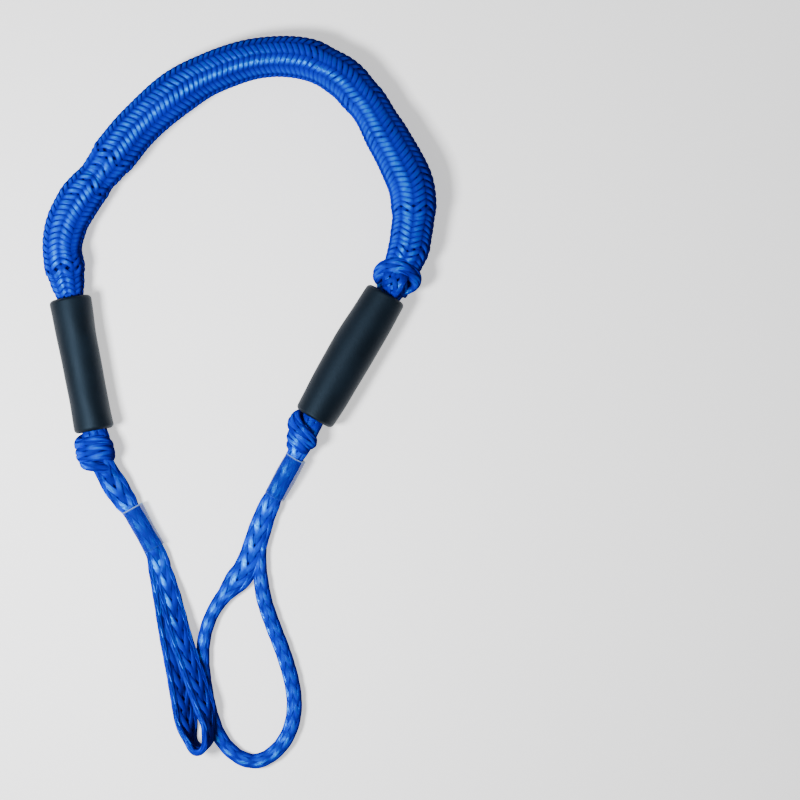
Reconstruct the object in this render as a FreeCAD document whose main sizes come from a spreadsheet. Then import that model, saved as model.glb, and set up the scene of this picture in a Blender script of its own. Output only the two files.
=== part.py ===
import FreeCAD, Part
import math
import os
from FreeCAD import Placement, Rotation, Vector

# Bungee dock line, lying flat on a deck: one hollow-braid rope, bunched up over rubber cores in
# its fat middle, with a foam float and a stopper knot on each arm and a spliced eye at each end.
# Millimetres. +Z is up from the deck and +Y points to the fat middle's arch.

SIZES = {
    "sheath_radius": 17.5,
    "sheath_wall": 2.5,
    "sheath_mouth_radius": 11.2,
    "sheath_mouth_taper": 12.5,
    "sheath_knot_radius": 10.0,
    "sheath_knot_taper": 9.0,
    "core_radius": 5.5,
    "core_spacing": 5.6,
    "twine_radius": 0.5,
    "twine_pitch": 1.45,
    "whipping_ring": 14.2,
    "whipping_inset": 4.0,
    "line_radius": 7.5,
    "line_clearance": 0.5,
    "line_engaged": 36.0,
    "float_bore": 8.0,
    "float_edge": 4.0,
    "left_float_length": 111.8,
    "left_float_head": 17.0,
    "left_float_foot": 15.5,
    "left_float_bow": 6000.0,
    "left_knot_reach": 17.3,
    "right_float_length": 119.1,
    "right_float_head": 16.8,
    "right_float_foot": 16.8,
    "right_float_bow": 2550.0,
    "right_knot_reach": 14.2,
    "neck_ball": 7.6,
    "neck_ball_gap": 0.6,
    "neck_reach": 17.0,
    "left_knot_along": 17.0,
    "right_knot_along": 13.6,
    "upper_knot_along": 15.0,
    "knot_across": 16.8,
    "knot_up": 15.5,
    "knot_ring": 10.8,
    "knot_strand": 5.2,
    "knot_lean": 35.0,
    "upper_knot_across": 20.5,
    "tail_half_width": 8.0,
    "tail_half_height": 5.5,
    "tail_wall": 2.2,
    "buried_gap": 0.4,
    "strap_half_width": 3.5,
    "strap_half_height": 7.0,
    "eye_radius": 5.65,
    "tube_half_width": 8.9,
    "tube_half_height": 6.4,
    "tube_wall": 0.4,
    "left_tube_length": 39.0,
    "left_tube_start": 8.0,
    "right_tube_length": 38.0,
    "right_tube_start": 6.5,
}

UP = Vector(0, 0, 1)
AXIS_HEIGHT = 17.5

# Where the floats start, and the way each one points, in degrees clockwise from -Y.
LEFT_FLOAT_HEAD = Vector(-141.5, 87.4, AXIS_HEIGHT)
LEFT_FLOAT_TURN = 10.39
RIGHT_FLOAT_HEAD = Vector(124.3, 90.5, AXIS_HEIGHT)
RIGHT_FLOAT_TURN = -30.62

LEFT_LOWER_KNOT = Vector(-119.4, -40.2, 17.0)
RIGHT_LOWER_KNOT = Vector(56.2, -24.0, 17.0)
RIGHT_UPPER_KNOT = Vector(133.7, 104.8, AXIS_HEIGHT)

# The fat middle, from the left float's mouth over the arch to the right upper knot.
SHEATH_ROUTE = [
    (-141.6, 88.0), (-146.2, 112.8), (-148.6, 140.8), (-138.2, 168.6), (-119.5, 189.8),
    (-102.5, 208.6), (-82.0, 232.3), (-56.0, 255.8), (-25.5, 275.3), (7.0, 286.8),
    (39.5, 290.3), (67.5, 285.3), (92.5, 269.3), (112.0, 246.3), (127.5, 219.8),
    (142.0, 192.3), (148.5, 165.8), (146.0, 139.8), (139.6, 120.3), (133.7, 104.8),
]

# The left tail comes down from its knot; its eye is a flat strap that lies over the right eye.
LEFT_TAIL_ROUTE = [
    (-112.2, -56.4, 14.0), (-95.5, -82.7, 9.3), (-69.0, -131.2, 6.4),
]
LEFT_EYE_ROUTE = [
    (-73.1, -131.7, 7.0), (-69.6, -145.5, 7.0), (-66.2, -170.7, 7.0), (-62.0, -200.1, 7.0),
    (-57.0, -229.5, 7.0), (-51.1, -254.7, 7.3), (-45.0, -276.2, 8.3), (-42.0, -287.2, 10.5),
    (-35.0, -293.2, 14.0), (-27.0, -290.2, 17.5), (-22.5, -280.2, 20.0), (-24.0, -262.2, 20.5),
    (-30.9, -242.1, 20.5), (-39.3, -216.9, 20.5), (-46.9, -195.9, 19.5), (-54.4, -170.7, 13.0),
    (-61.2, -148.0, 7.5), (-66.1, -128.5, 7.0),
]
RIGHT_TAIL_ROUTE = [
    (50.0, -40.5, 14.5), (25.0, -85.2, 8.0), (16.7, -109.9, 6.3), (11.3, -139.2, 6.2),
]
RIGHT_EYE_ROUTE = [
    (5.6, -137.1, 6.0), (-6.6, -157.3, 5.8), (-21.7, -175.8, 5.8), (-30.0, -196.2, 5.8),
    (-32.0, -217.2, 5.8), (-29.5, -240.2, 5.8), (-25.5, -262.2, 5.8), (-18.5, -281.7, 5.8),
    (-4.5, -296.2, 5.8), (13.0, -302.7, 5.8), (30.0, -296.7, 5.8), (41.5, -281.2, 5.8),
    (46.5, -261.7, 5.8), (45.5, -239.7, 5.8), (38.7, -213.2, 5.8), (29.3, -188.2, 5.8),
    (21.5, -165.2, 5.8), (17.4, -139.3, 6.0),
]

BEND_SHARE = 0.45
WHIPPING_TURNS = 5

doc = FreeCAD.newDocument("bungee_dock_line")
sheet = doc.addObject("Spreadsheet::Sheet", "sizes")
for row, (alias, value) in enumerate(SIZES.items(), start=1):
    sheet.set(f"A{row}", alias)
    sheet.set(f"B{row}", str(value))
    sheet.setAlias(f"B{row}", alias)
doc.recompute()

nodes = []


def size(alias):
    """One of the sheet's dimensions, in millimetres."""
    return float(sheet.get(alias))


def keep(part, name, placement=None):
    """Give a sub-part its name and its place, and put it on the list of nodes."""
    part.Label = name
    if placement:
        part.Placement = placement
    nodes.append(part)
    return part


def unit(vector):
    return Vector(vector).normalize()


def heading(degrees):
    """The flat direction at this many degrees clockwise from -Y, seen from above."""
    turn = math.radians(degrees)
    return Vector(math.sin(turn), -math.cos(turn), 0)


def facing(start, ahead):
    """A placement with its local Z along ahead, local X level and local Y upwards."""
    ahead = unit(ahead)
    side = unit(UP.cross(ahead))
    return Placement(start, Rotation(side, ahead.cross(side), ahead, "ZXY"))


def bound(part, **expressions):
    """Bind properties of an object to the sheet."""
    for name, expression in expressions.items():
        part.setExpression(name, expression)
    return part


# Routes: straight runs joined by tangent arcs

def bend_radii(points):
    """The radius at each inner point, as large as its two runs allow."""
    radii = []
    for before, corner, after in zip(points, points[1:], points[2:]):
        into, out = corner - before, after - corner
        radii.append(BEND_SHARE * min(into.Length, out.Length) / math.tan(into.getAngle(out) / 2))
    return radii


def route_wire(points, radii):
    """The route's runs, with an arc at each inner point."""
    edges = []
    last = points[0]
    for before, corner, after, radius in zip(points, points[1:], points[2:], radii):
        into, out = unit(corner - before), unit(after - corner)
        half_turn = into.getAngle(out) / 2
        setback = radius * math.tan(half_turn)
        arc_start, arc_end = corner - into * setback, corner + out * setback
        crown = corner + unit(out - into) * radius * (1 / math.cos(half_turn) - 1)
        edges.append(Part.LineSegment(last, arc_start).toShape())
        edges.append(Part.Arc(arc_start, crown, arc_end).toShape())
        last = arc_end
    edges.append(Part.LineSegment(last, points[-1]).toShape())
    return Part.Wire(edges)


def swept(wire, half_width, half_height):
    """An oval section swept along a route, kept level."""
    first = wire.Edges[0]
    start, ahead = first.valueAt(first.FirstParameter), first.tangentAt(first.FirstParameter)
    side = unit(UP.cross(ahead))
    up = ahead.cross(side)
    if half_width == half_height:
        outline = Part.Circle(start, ahead, half_width)
    elif half_width > half_height:
        outline = Part.Ellipse(start + side * half_width, start + up * half_height, start)
    else:
        outline = Part.Ellipse(start + up * half_height, start + side * half_width, start)
    pipe = Part.BRepOffsetAPI.MakePipeShell(wire)
    pipe.setBiNormalMode(UP)
    pipe.add(Part.Wire([outline.toShape()]))
    pipe.build()
    pipe.makeSolid()
    return pipe.shape()


def report_tube(name, solid, wire, radii, area):
    """Print a tube's length, its bends and how its volume compares with section times length."""
    share = solid.Volume / (area * wire.Length)
    bends = " ".join(f"{radius:.0f}" for radius in radii)
    print(f"{name}: {wire.Length:.1f} mm long, volume x{share:.4f}, radii {bends}")


def place_on(wire, distance):
    """The point and the direction at a distance along a route."""
    for edge in wire.Edges:
        if distance <= edge.Length:
            at = edge.getParameterByLength(distance)
            return edge.valueAt(at), edge.tangentAt(at)
        distance -= edge.Length


def shaped(name, shape):
    """A sub-part whose shape is set directly."""
    part = doc.addObject("Part::Feature", name)
    part.Shape = shape
    return keep(part, name)


# The fat middle: hollow braid bunched over the rubber

def sheath_points():
    return [Vector(x, y, AXIS_HEIGHT) for x, y in SHEATH_ROUTE]


def inset_ends(points, start_inset, end_inset):
    """The same route with its first and last points moved in along their runs."""
    first = points[0] + unit(points[1] - points[0]) * start_inset
    last = points[-1] + unit(points[-2] - points[-1]) * end_inset
    return [first] + points[1:-1] + [last]


def sheath_form(radius, mouth_radius, knot_radius):
    """The fat tube with a cone at each end, closed."""
    points = sheath_points()
    mouth, knot = size("sheath_mouth_taper"), size("sheath_knot_taper")
    middle = inset_ends(points, mouth, knot)
    tube = swept(route_wire(middle, bend_radii(points)), radius, radius)
    left_cone = Part.makeCone(mouth_radius, radius, mouth, points[0], points[1] - points[0])
    right_cone = Part.makeCone(knot_radius, radius, knot, points[-1], points[-2] - points[-1])
    return tube.fuse([left_cone, right_cone])


def make_sheath():
    points = sheath_points()
    radii = bend_radii(points)
    radius, wall = size("sheath_radius"), size("sheath_wall")
    hole = size("line_radius") + size("line_clearance")
    outer = sheath_form(radius, size("sheath_mouth_radius"), size("sheath_knot_radius"))
    wire = route_wire(points, radii)
    report_tube("bungee_sheath outside", outer, wire, radii, math.pi * radius**2)
    inner = sheath_form(radius - wall, hole, size("sheath_knot_radius") - wall)
    past_mouth = points[0] - unit(points[1] - points[0])
    mouth = Part.makeCylinder(hole, size("sheath_mouth_taper"), past_mouth, points[1] - points[0])
    stop = Part.makeCylinder(radius, wall, points[-1], points[-2] - points[-1])
    shaped("bungee_sheath", outer.cut(inner.cut(stop).fuse(mouth)))


def core_wire(across, up):
    """The sheath's route moved sideways and up, with the arcs kept on their centres."""
    points = sheath_points()
    radii = bend_radii(points)
    sides = [unit(UP.cross(b - a)) for a, b in zip(points, points[1:])]
    first = (points[1] + points[2]) / 2 + sides[1] * across
    last = (points[-3] + points[-2]) / 2 + sides[-2] * across
    moved, bends = [first], []
    for i in range(2, len(points) - 2):
        before, after = sides[i - 1], sides[i]
        moved.append(points[i] + (before + after) * (across / (1 + before.dot(after))))
        left_turn = before.cross(after).z > 0
        bends.append(radii[i - 1] - across if left_turn else radii[i - 1] + across)
    moved.append(last)
    return route_wire([p + UP * up for p in moved], bends), bends


def make_cores():
    spacing, radius = size("core_spacing"), size("core_radius")
    quarters = [(1, -1), (1, 1), (-1, 1), (-1, -1)]
    for number, (across, up) in enumerate(quarters, start=1):
        wire, bends = core_wire(across * spacing, up * spacing)
        solid = swept(wire, radius, radius)
        report_tube(f"bungee_core_{number}", solid, wire, bends, math.pi * radius**2)
        shaped(f"bungee_core_{number}", solid)


def make_whipping(name, distance, way):
    """Turns of twine round the bundle of cores, near one of its ends."""
    wire = core_wire(0, 0)[0]
    start = distance if way > 0 else wire.Length - distance
    rings = []
    for turn in range(WHIPPING_TURNS):
        centre, ahead = place_on(wire, start + way * turn * size("twine_pitch"))
        ring = bound(doc.addObject("Part::Torus", f"{name}_turn"),
                     Radius1="sizes.whipping_ring", Radius2="sizes.twine_radius")
        ring.Placement = facing(centre, ahead)
        rings.append(ring)
    whipping = doc.addObject("Part::Compound", name)
    whipping.Links = rings
    keep(whipping, name)


# Knots: two leaning turns of rope round a squeezed middle

def make_knot(name, centre, ahead, along_alias, across_alias):
    place = facing(centre, ahead)
    middle = bound(doc.addObject("Part::Ellipsoid", f"{name}_middle"),
                   Radius1=f"sizes.{along_alias}", Radius2=f"sizes.{across_alias}",
                   Radius3="sizes.knot_up")
    middle.Placement = place
    turns = [middle]
    for way in (-1, 1):
        turn = bound(doc.addObject("Part::Torus", f"{name}_turn"),
                     Radius1="sizes.knot_ring", Radius2="sizes.knot_strand")
        lean = Rotation(Vector(0, 1, 0), way * size("knot_lean"))
        turn.Placement = Placement(centre, place.Rotation * lean)
        turns.append(turn)
    knot = doc.addObject("Part::MultiFuse", name)
    knot.Shapes = turns
    keep(knot, name)


# Arms: the rope through each float

def make_lines():
    left_way, right_way = heading(LEFT_FLOAT_TURN), heading(RIGHT_FLOAT_TURN)
    left = bound(doc.addObject("Part::Cylinder", "left_inner_line"), Radius="sizes.line_radius",
                 Height="sizes.line_engaged + sizes.left_float_length + sizes.left_knot_reach")
    start = LEFT_FLOAT_HEAD - left_way * size("line_engaged")
    keep(left, "left_inner_line", facing(start, left_way))

    right = bound(doc.addObject("Part::Cylinder", "right_inner_line"),
                  Radius="sizes.line_radius",
                  Height="sizes.right_float_length + sizes.right_knot_reach"
                         " - sizes.neck_ball - sizes.neck_ball_gap")
    start = RIGHT_FLOAT_HEAD + right_way * (size("neck_ball") + size("neck_ball_gap"))
    keep(right, "right_inner_line", facing(start, right_way))


def make_right_neck():
    """The rope between the upper knot and the right float, rounded where the float swings."""
    neck_way = RIGHT_FLOAT_HEAD - RIGHT_UPPER_KNOT
    neck = bound(doc.addObject("Part::Cylinder", "right_neck"), Radius="sizes.neck_ball - 1",
                 Height="sizes.neck_reach")
    neck.Placement = facing(RIGHT_UPPER_KNOT, neck_way)
    ball = bound(doc.addObject("Part::Sphere", "right_neck_end"), Radius="sizes.neck_ball")
    ball.Placement = facing(RIGHT_FLOAT_HEAD, neck_way)
    line = doc.addObject("Part::MultiFuse", "right_neck_line")
    line.Shapes = [neck, ball]
    keep(line, "right_neck_line")


# Floats: foam barrels with a through bore

def origin_plane(body, role):
    return next(plane for plane in body.Origin.OriginFeatures if plane.Role == role)


def dimension(sketch, name, constraint, expression):
    """Add a constraint with a name, and bind it to the sheet."""
    sketch.renameConstraint(sketch.addConstraint(constraint), name)
    sketch.setExpression(f"Constraints.{name}", expression)


def make_float(side, head, turn):
    import Sketcher

    name = f"{side}_float"
    bore, length = size("float_bore"), size(f"{name}_length")
    head_radius, foot_radius = size(f"{name}_head"), size(f"{name}_foot")
    bow = size(f"{name}_bow")
    waist = (head_radius + foot_radius) / 2 + length**2 / (8 * bow)

    body = doc.addObject("PartDesign::Body", name)
    sketch = body.newObject("Sketcher::SketchObject", f"{name}_profile")
    sketch.AttachmentSupport = [(origin_plane(body, "XZ_Plane"), "")]
    sketch.MapMode = "FlatFace"
    corners = [Vector(bore, 0, 0), Vector(head_radius, 0, 0),
               Vector(foot_radius, length, 0), Vector(bore, length, 0)]
    sketch.addGeometry(Part.LineSegment(corners[0], corners[1]))
    sketch.addGeometry(Part.Arc(corners[1], Vector(waist, length / 2, 0), corners[2]))
    sketch.addGeometry(Part.LineSegment(corners[2], corners[3]))
    sketch.addGeometry(Part.LineSegment(corners[3], corners[0]))
    for first in range(4):
        sketch.addConstraint(Sketcher.Constraint("Coincident", first, 2, (first + 1) % 4, 1))
    sketch.addConstraint(Sketcher.Constraint("PointOnObject", 0, 1, -1))
    sketch.addConstraint(Sketcher.Constraint("Horizontal", 0))
    sketch.addConstraint(Sketcher.Constraint("Horizontal", 2))
    sketch.addConstraint(Sketcher.Constraint("Vertical", 3))
    across = "DistanceX"
    dimension(sketch, "bore", Sketcher.Constraint(across, -1, 1, 0, 1, bore), "sizes.float_bore")
    dimension(sketch, "head", Sketcher.Constraint(across, -1, 1, 0, 2, head_radius),
              f"sizes.{name}_head")
    dimension(sketch, "foot", Sketcher.Constraint(across, -1, 1, 2, 1, foot_radius),
              f"sizes.{name}_foot")
    dimension(sketch, "long", Sketcher.Constraint("DistanceY", 0, 1, 2, 2, length),
              f"sizes.{name}_length")
    dimension(sketch, "bow", Sketcher.Constraint("Radius", 1, bow), f"sizes.{name}_bow")

    barrel = body.newObject("PartDesign::Revolution", f"{name}_barrel")
    barrel.Profile = sketch
    barrel.ReferenceAxis = (sketch, ["V_Axis"])
    barrel.Angle = 360
    doc.recompute()

    rims = [f"Edge{number}" for number, edge in enumerate(barrel.Shape.Edges, start=1)
            if edge.isClosed() and isinstance(edge.Curve, Part.Circle)
            and edge.Curve.Radius > bore + 1]
    fillet = body.newObject("PartDesign::Fillet", f"{name}_edges")
    fillet.Base = (barrel, rims)
    bound(fillet, Radius="sizes.float_edge")
    keep(body, name, facing(head, heading(turn)))


# Clear tubes: thin loose sleeves round the splices

def slot_outline(sketch, half_width, half_height, width_expression, height_expression, name):
    """A level slot round the sketch's origin."""
    import Sketcher

    reach = half_width - half_height
    quarter = math.pi / 2
    first = sketch.GeometryCount
    right_end = Part.Circle(Vector(reach, 0, 0), UP, half_height)
    left_end = Part.Circle(Vector(-reach, 0, 0), UP, half_height)
    sketch.addGeometry(Part.ArcOfCircle(right_end, -quarter, quarter))
    sketch.addGeometry(Part.LineSegment(Vector(reach, half_height, 0),
                                        Vector(-reach, half_height, 0)))
    sketch.addGeometry(Part.ArcOfCircle(left_end, quarter, 3 * quarter))
    sketch.addGeometry(Part.LineSegment(Vector(-reach, -half_height, 0),
                                        Vector(reach, -half_height, 0)))
    for number in range(4):
        here, following = first + number, first + (number + 1) % 4
        sketch.addConstraint(Sketcher.Constraint("Tangent", here, 2, following, 1))
    sketch.addConstraint(Sketcher.Constraint("Symmetric", first, 3, first + 2, 3, -1, 1))
    sketch.addConstraint(Sketcher.Constraint("PointOnObject", first, 3, -1))
    dimension(sketch, f"{name}_height", Sketcher.Constraint("Radius", first, half_height),
              height_expression)
    dimension(sketch, f"{name}_reach",
              Sketcher.Constraint("DistanceX", first + 2, 3, first, 3, 2 * reach),
              f"2 * ({width_expression} - ({height_expression}))")


def make_clear_tube(side, route):
    name = f"{side}_clear_tube"
    half_width, half_height = size("tube_half_width"), size("tube_half_height")
    wall = size("tube_wall")
    body = doc.addObject("PartDesign::Body", name)
    sketch = body.newObject("Sketcher::SketchObject", f"{name}_section")
    sketch.AttachmentSupport = [(origin_plane(body, "XY_Plane"), "")]
    sketch.MapMode = "FlatFace"
    slot_outline(sketch, half_width, half_height,
                 "sizes.tube_half_width", "sizes.tube_half_height", "outside")
    slot_outline(sketch, half_width - wall, half_height - wall,
                 "sizes.tube_half_width - sizes.tube_wall",
                 "sizes.tube_half_height - sizes.tube_wall", "inside")
    pad = body.newObject("PartDesign::Pad", f"{name}_length")
    pad.Profile = sketch
    bound(pad, Length=f"sizes.{side}_tube_length")
    before, after = route
    ahead = unit(after - before)
    keep(body, name, facing(before + ahead * size(f"{side}_tube_start"), ahead))


# Tails and eyes: the free ends of the rope

def vectors(route):
    return [Vector(*point) for point in route]


def make_tail(side, route):
    """The hollow tail and the rope's own end, buried in it."""
    points = vectors(route)
    radii = bend_radii(points)
    wire = route_wire(points, radii)
    width, height = size("tail_half_width"), size("tail_half_height")
    wall, gap = size("tail_wall"), size("buried_gap")
    outer = swept(wire, width, height)
    report_tube(f"{side}_tail outside", outer, wire, radii, math.pi * width * height)
    hollow = swept(wire, width - wall, height - wall)
    buried = swept(wire, width - wall - gap, height - wall - gap)
    shaped(f"{side}_tail", outer.cut(hollow))
    shaped(f"{side}_buried_end", buried)


def make_eye(name, route, half_width, half_height):
    points = vectors(route)
    radii = bend_radii(points)
    wire = route_wire(points, radii)
    solid = swept(wire, half_width, half_height)
    report_tube(name, solid, wire, radii, math.pi * half_width * half_height)
    shaped(name, solid)


make_sheath()
make_cores()
make_whipping("left_core_whipping", size("whipping_inset"), 1)
make_whipping("right_core_whipping", size("whipping_inset"), -1)
make_knot("right_upper_knot", RIGHT_UPPER_KNOT, RIGHT_FLOAT_HEAD - RIGHT_UPPER_KNOT,
          "upper_knot_along", "upper_knot_across")
make_knot("left_lower_knot", LEFT_LOWER_KNOT, heading(LEFT_FLOAT_TURN),
          "left_knot_along", "knot_across")
make_knot("right_lower_knot", RIGHT_LOWER_KNOT, heading(RIGHT_FLOAT_TURN),
          "right_knot_along", "knot_across")
make_lines()
make_right_neck()
make_float("left", LEFT_FLOAT_HEAD, LEFT_FLOAT_TURN)
make_float("right", RIGHT_FLOAT_HEAD, RIGHT_FLOAT_TURN)
make_tail("left", LEFT_TAIL_ROUTE)
make_tail("right", RIGHT_TAIL_ROUTE)
make_eye("left_eye", LEFT_EYE_ROUTE, size("strap_half_width"), size("strap_half_height"))
make_eye("right_eye", RIGHT_EYE_ROUTE, size("eye_radius"), size("eye_radius"))
make_clear_tube("left", vectors(LEFT_TAIL_ROUTE)[1:3])
make_clear_tube("right", vectors(RIGHT_TAIL_ROUTE)[0:2])
doc.recompute()

for thing in doc.Objects:
    if "Invalid" in thing.State or "Error" in thing.State:
        raise RuntimeError(f"{thing.Label} failed to compute: {thing.State}")
for part in nodes:
    if part.Shape.isNull() or not part.Shape.isValid():
        raise RuntimeError(f"{part.Label} has no valid shape")

os.makedirs("parts", exist_ok=True)
for part in nodes:
    part.Shape.exportStep(f"parts/{part.Label}.step")
    print(f"{part.Label}: {part.Shape.Volume / 1000:.2f} cm3, {len(part.Shape.Solids)} solid")

whole = FreeCAD.BoundBox()
for part in nodes:
    whole.add(part.Shape.optimalBoundingBox(False, False))
print(f"box {whole.XMin:.2f} {whole.YMin:.2f} {whole.ZMin:.2f}"
      f" to {whole.XMax:.2f} {whole.YMax:.2f} {whole.ZMax:.2f}")
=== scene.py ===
import math

import bpy
import numpy as np
from mathutils import Matrix, Vector


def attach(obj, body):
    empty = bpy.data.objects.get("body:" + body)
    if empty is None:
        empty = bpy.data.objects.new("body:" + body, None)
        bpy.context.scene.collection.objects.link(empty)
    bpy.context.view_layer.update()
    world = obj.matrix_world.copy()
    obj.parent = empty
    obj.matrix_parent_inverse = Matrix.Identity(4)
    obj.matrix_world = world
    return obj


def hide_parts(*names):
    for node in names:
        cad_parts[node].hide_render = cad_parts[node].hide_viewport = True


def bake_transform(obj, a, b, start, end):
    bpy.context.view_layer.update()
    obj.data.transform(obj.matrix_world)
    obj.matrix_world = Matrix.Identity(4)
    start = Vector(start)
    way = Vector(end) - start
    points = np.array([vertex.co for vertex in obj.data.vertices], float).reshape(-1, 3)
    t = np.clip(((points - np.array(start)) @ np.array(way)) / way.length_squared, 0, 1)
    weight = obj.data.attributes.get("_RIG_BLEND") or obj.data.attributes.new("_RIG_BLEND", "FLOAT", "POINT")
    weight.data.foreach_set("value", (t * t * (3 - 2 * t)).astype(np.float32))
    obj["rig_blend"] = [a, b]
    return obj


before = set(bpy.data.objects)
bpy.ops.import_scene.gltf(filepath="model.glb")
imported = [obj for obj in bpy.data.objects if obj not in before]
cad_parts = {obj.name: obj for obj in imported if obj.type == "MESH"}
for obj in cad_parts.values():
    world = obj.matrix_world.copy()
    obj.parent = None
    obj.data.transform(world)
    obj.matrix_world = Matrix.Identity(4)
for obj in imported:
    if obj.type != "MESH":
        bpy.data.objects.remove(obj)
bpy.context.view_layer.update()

# The bungee dock line lies flat on the floor, seen from straight above: +Y points to the arch of
# its fat middle, -Y to its eyes, and +Z is up. Metres.

MM = 0.001

# ---------------------------------------------------------------------------------------------
# Camera, floor and light
# ---------------------------------------------------------------------------------------------

VIEW_CENTRE = (0.1353, 0.0017)
VIEW_WIDTH = 0.672
VIEW_LEVEL = 0.017
LENS, SENSOR = 85.0, 36.0
CAMERA_HEIGHT = VIEW_WIDTH * LENS / SENSOR + VIEW_LEVEL


def make_camera():
    data = bpy.data.cameras.new("camera")
    data.lens, data.sensor_width = LENS, SENSOR
    data.clip_start, data.clip_end = 0.05, 20.0
    camera = bpy.data.objects.new("camera", data)
    camera.location = (*VIEW_CENTRE, CAMERA_HEIGHT)
    bpy.context.collection.objects.link(camera)
    bpy.context.scene.camera = camera


def make_lamp(name, energy, size, place):
    """A square lamp that faces the middle of the floor."""
    data = bpy.data.lights.new(name, "AREA")
    data.energy, data.size = energy, size
    lamp = bpy.data.objects.new(name, data)
    lamp.location = place
    lamp.rotation_euler = (-Vector(place)).to_track_quat("-Z", "Y").to_euler()
    bpy.context.collection.objects.link(lamp)


def make_studio():
    make_lamp("key", 24.0, 0.24, (-0.40, -0.14, 0.86))
    make_lamp("fill", 4.0, 1.6, (1.3, 0.9, 1.6))
    world = bpy.data.worlds.new("studio")
    bpy.context.scene.world = world
    world.use_nodes = True
    background = world.node_tree.nodes["Background"]
    background.inputs["Color"].default_value = (1, 1, 1, 1)
    background.inputs["Strength"].default_value = 0.15


FLOOR_HALF = 3.0


def make_floor():
    mesh = bpy.data.meshes.new("floor")
    corners = [(FLOOR_HALF * x, FLOOR_HALF * y, 0) for x, y in ((-1, -1), (1, -1), (1, 1), (-1, 1))]
    mesh.from_pydata(corners, [], [(0, 1, 2, 3)])
    floor = bpy.data.objects.new("floor", mesh)
    bpy.context.collection.objects.link(floor)
    mesh.materials.append(floor_paper())


# ---------------------------------------------------------------------------------------------
# Shader sockets with operators
# ---------------------------------------------------------------------------------------------

class Flow:
    """A shader socket that adds Math nodes when it is used in an expression."""

    def __init__(self, tree, socket):
        self.tree, self.socket = tree, socket

    def maths(self, operation, *others, first=None):
        node = self.tree.nodes.new("ShaderNodeMath")
        node.operation = operation
        for slot, value in enumerate((self if first is None else first, *others)):
            feed(self.tree, node.inputs[slot], value)
        return Flow(self.tree, node.outputs[0])

    def __add__(self, other):
        return self.maths("ADD", other)

    def __sub__(self, other):
        return self.maths("SUBTRACT", other)

    def __mul__(self, other):
        return self.maths("MULTIPLY", other)

    def __rsub__(self, other):
        return self.maths("SUBTRACT", self, first=other)

    __radd__, __rmul__ = __add__, __mul__

    def sin(self):
        return self.maths("SINE")

    def power(self, other):
        return self.maths("POWER", other)

    def absolute(self):
        return self.maths("ABSOLUTE")

    def clamped(self):
        node = self.tree.nodes.new("ShaderNodeClamp")
        feed(self.tree, node.inputs["Value"], self)
        return Flow(self.tree, node.outputs[0])


def feed(tree, socket, value):
    if isinstance(value, Flow):
        tree.links.new(value.socket, socket)
    else:
        socket.default_value = value


class Shader:
    """A material's node tree, with one way to add any node."""

    def __init__(self, name):
        self.material = bpy.data.materials.new(name)
        self.material.use_nodes = True
        self.tree = self.material.node_tree
        self.surface = self.tree.nodes["Principled BSDF"]

    def node(self, kind, settings=None, output=0, inputs=(), **values):
        """Add a node. Its sockets are filled in order from inputs, or by name from values."""
        node = self.tree.nodes.new(kind)
        for key, value in (settings or {}).items():
            setattr(node, key, value)
        for socket, value in zip(node.inputs, inputs):
            feed(self.tree, socket, value)
        for key, value in values.items():
            feed(self.tree, node.inputs[key.replace("_", " ")], value)
        return Flow(self.tree, node.outputs[output])

    def attribute(self, name, output="Fac"):
        return self.node("ShaderNodeAttribute", {"attribute_name": name}, output)

    def normal(self):
        """The way the surface faces."""
        return self.node("ShaderNodeNewGeometry", output="Normal")

    def noise(self, scale, detail=3.0):
        place = self.node("ShaderNodeTexCoord", output="Object")
        return self.node("ShaderNodeTexNoise", {"noise_dimensions": "3D"}, Scale=scale,
                         Detail=detail, Roughness=0.5, Vector=place)

    def mix(self, share, first, second):
        node = self.tree.nodes.new("ShaderNodeMix")
        node.data_type = "RGBA"
        feed(self.tree, node.inputs["Factor"], share)
        colours = [s for s in node.inputs if s.type == "RGBA"]
        feed(self.tree, colours[0], first)
        feed(self.tree, colours[1], second)
        return Flow(self.tree, next(s for s in node.outputs if s.type == "RGBA"))

    def bump(self, height, distance, strength):
        return self.node("ShaderNodeBump", Height=height, Distance=distance, Strength=strength)

    def set(self, **values):
        for key, value in values.items():
            feed(self.tree, self.surface.inputs[key.replace("_", " ")], value)
        return self.material

    def cover(self, top, amount):
        """Lay another surface over the main one."""
        base = Flow(self.tree, self.surface.outputs[0])
        both = self.node("ShaderNodeMixShader", inputs=(amount, base, top))
        feed(self.tree, self.tree.nodes["Material Output"].inputs["Surface"], both)


# ---------------------------------------------------------------------------------------------
# Materials
# ---------------------------------------------------------------------------------------------

def floor_paper():
    shader = Shader("floor_paper")
    return shader.set(Base_Color=(0.80, 0.80, 0.81, 1), Roughness=0.9,
                      Emission_Color=(1, 1, 1, 1), Emission_Strength=0.75)


# The way that the lit side of a strand faces, for the painted shade and painted highlight, and the blues of
# the filaments: from deep blue in painted shade to bright blue where lit
LIT_SIDE = (-0.34, -0.20, 0.92)
DEEP_BLUE, BRIGHT_BLUE = (0.0, 0.0, 0.10, 1), (0.0, 0.001, 0.80, 1)
GLOSS_BLUE, GLOSS_TINT = (0.0, 0.20, 0.58, 1), (0.0, 0.2, 1.0, 1)


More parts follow.
